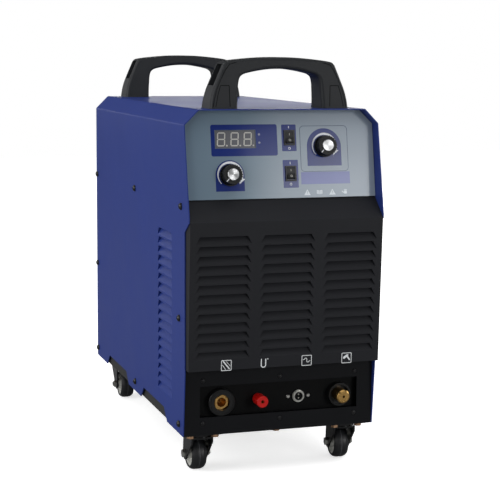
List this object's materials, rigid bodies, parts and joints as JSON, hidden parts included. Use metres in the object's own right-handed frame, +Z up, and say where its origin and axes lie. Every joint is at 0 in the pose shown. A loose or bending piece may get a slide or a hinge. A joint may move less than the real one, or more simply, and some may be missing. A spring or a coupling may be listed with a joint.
{
  "type": "plasma cutter power unit",
  "caption": "Wheeled plasma cutter power unit: folded sheet cabinet, sloping control panel, louvred front, socket panel, roof handles, fan and swivel casters",
  "frame": {"origin": "on the floor under the middle of the unit's overall width and length", "axes": "+X to the right seen from the front, +Y towards the rear panel, +Z up; the controls and sockets face -Y"},
  "size_m": [0.3084, 0.662, 0.6196],
  "materials": {
    "blue_paint": "semi-gloss powder coat, fine orange peel",
    "black_paint": "fine-textured powder coat",
    "grey_steel": "matt grey coat on folded sheet",
    "panel_film": "printed polyester film with a satin hard coat",
    "insulator": "moulded phenolic, fine satin",
    "handle_plastic": "grained glass-filled nylon",
    "black_plastic": "moulded ABS, satin",
    "display_window": "smoked acrylic over a seven-segment display",
    "red_plastic": "moulded nylon, glossy",
    "bright_zinc": "zinc plated",
    "yellow_zinc": "yellow zinc plated steel",
    "brass": "turned, lightly tarnished",
    "aluminium": "turned or extruded, plain",
    "circuit_board": "solder resist with dark components",
    "varnished_winding": "varnished core and winding",
    "wheel_plastic": "moulded polypropylene",
    "tyre_rubber": "black rubber tread",
    "black_screw": "blackened steel"
  },
  "bodies": {
    "cabinet": {"outer_cover": "blue_paint", "base_tray": "grey_steel", "inner_deck": "grey_steel", "fascia_panel": "black_paint", "fascia_film": "panel_film", "louvre_panel": "black_paint", "socket_panel": "black_paint", "socket_board": "insulator", "rear_panel": "black_paint", "front_handle": "handle_plastic", "rear_handle": "handle_plastic", "panel_screws": "black_screw", "display_module": "display_window", "potentiometers": "bright_zinc", "switch_frames": "black_plastic", "torch_insulator": "insulator", "torch_socket": "brass", "work_insulator": "insulator", "work_plug": "brass", "post_collar": "red_plastic", "post_stud": "brass", "control_socket": "bright_zinc", "fan_frame": "insulator", "fan_guard": "bright_zinc", "breaker_body": "insulator", "cable_gland": "insulator", "gas_inlet": "brass", "earth_bolt": "bright_zinc", "heat_sinks": "aluminium", "power_board": "circuit_board", "control_board": "circuit_board", "main_transformer": "varnished_winding", "gas_valve": "brass", "caster_plates": "black_paint", "base_bolts": "yellow_zinc"},
    "current_dial": {"current_knob": "black_plastic", "current_knob_cap": "aluminium"},
    "delay_dial": {"delay_knob": "black_plastic", "delay_knob_cap": "aluminium"},
    "mode_rocker": {"mode_rocker": "black_plastic"},
    "gas_rocker": {"gas_rocker": "black_plastic"},
    "post_cap": {"post_cap": "red_plastic"},
    "fan_rotor": {"fan_rotor": "black_plastic"},
    "breaker_lever": {"breaker_lever": "black_plastic"},
    "front_left_swivel": {"front_left_fork": "black_paint", "front_left_axle": "bright_zinc"},
    "front_left_wheel": {"front_left_tyre": "tyre_rubber", "front_left_hub": "wheel_plastic"},
    "front_right_swivel": {"front_right_fork": "black_paint", "front_right_axle": "bright_zinc"},
    "front_right_wheel": {"front_right_tyre": "tyre_rubber", "front_right_hub": "wheel_plastic"},
    "rear_left_swivel": {"rear_left_fork": "black_paint", "rear_left_axle": "bright_zinc"},
    "rear_left_wheel": {"rear_left_tyre": "tyre_rubber", "rear_left_hub": "wheel_plastic"},
    "rear_right_swivel": {"rear_right_fork": "black_paint", "rear_right_axle": "bright_zinc"},
    "rear_right_wheel": {"rear_right_tyre": "tyre_rubber", "rear_right_hub": "wheel_plastic"}
  },
  "joints": [
    {"name": "current_dial_turn", "type": "hinge", "parent": "cabinet", "child": "current_dial", "pos_m": [0.0693, -0.28762, 0.48901], "axis": [0, 0.9854, -0.1702], "range_deg": [0, 280]},
    {"name": "delay_dial_turn", "type": "hinge", "parent": "cabinet", "child": "delay_dial", "pos_m": [-0.0784, -0.29446, 0.4494], "axis": [0, 0.9854, -0.1702], "range_deg": [0, 280]},
    {"name": "mode_rocker_tilt", "type": "hinge", "parent": "cabinet", "child": "mode_rocker", "pos_m": [0.015, -0.28532, 0.5023], "axis": [1, 0, 0], "range_deg": [0, 20]},
    {"name": "gas_rocker_tilt", "type": "hinge", "parent": "cabinet", "child": "gas_rocker", "pos_m": [0.015, -0.29431, 0.45028], "axis": [1, 0, 0], "range_deg": [0, 20]},
    {"name": "post_cap_turn", "type": "hinge", "parent": "cabinet", "child": "post_cap", "pos_m": [-0.031, -0.305, 0.1137], "axis": [0, 1, 0], "continuous": true},
    {"name": "fan_spin", "type": "hinge", "parent": "cabinet", "child": "fan_rotor", "pos_m": [0, 0.274, 0.271], "axis": [0, 1, 0], "continuous": true},
    {"name": "breaker_lever_tilt", "type": "hinge", "parent": "cabinet", "child": "breaker_lever", "pos_m": [-0.08, 0.2925, 0.471], "axis": [1, 0, 0], "range_deg": [0, 52]},
    {"name": "front_left_swivel_turn", "type": "hinge", "parent": "cabinet", "child": "front_left_swivel", "pos_m": [-0.1146, -0.264, 0.056], "axis": [0, 0, 1], "continuous": true},
    {"name": "front_left_wheel_roll", "type": "hinge", "parent": "front_left_swivel", "child": "front_left_wheel", "pos_m": [-0.11495, -0.244, 0.025], "axis": [0.9998, 0.0175, 0], "continuous": true},
    {"name": "front_right_swivel_turn", "type": "hinge", "parent": "cabinet", "child": "front_right_swivel", "pos_m": [0.1146, -0.264, 0.056], "axis": [0, 0, 1], "continuous": true},
    {"name": "front_right_wheel_roll", "type": "hinge", "parent": "front_right_swivel", "child": "front_right_wheel", "pos_m": [0.11634, -0.24408, 0.025], "axis": [0.9962, -0.0872, 0], "continuous": true},
    {"name": "rear_left_swivel_turn", "type": "hinge", "parent": "cabinet", "child": "rear_left_swivel", "pos_m": [-0.1146, 0.244, 0.056], "axis": [0, 0, 1], "continuous": true},
    {"name": "rear_left_wheel_roll", "type": "hinge", "parent": "rear_left_swivel", "child": "rear_left_wheel", "pos_m": [-0.11495, 0.224, 0.025], "axis": [-0.9998, 0.0175, 0], "continuous": true},
    {"name": "rear_right_swivel_turn", "type": "hinge", "parent": "cabinet", "child": "rear_right_swivel", "pos_m": [0.1146, 0.244, 0.056], "axis": [0, 0, 1], "continuous": true},
    {"name": "rear_right_wheel_roll", "type": "hinge", "parent": "rear_right_swivel", "child": "rear_right_wheel", "pos_m": [0.11321, 0.22405, 0.025], "axis": [-0.9976, 0.0698, 0], "continuous": true}
  ]
}
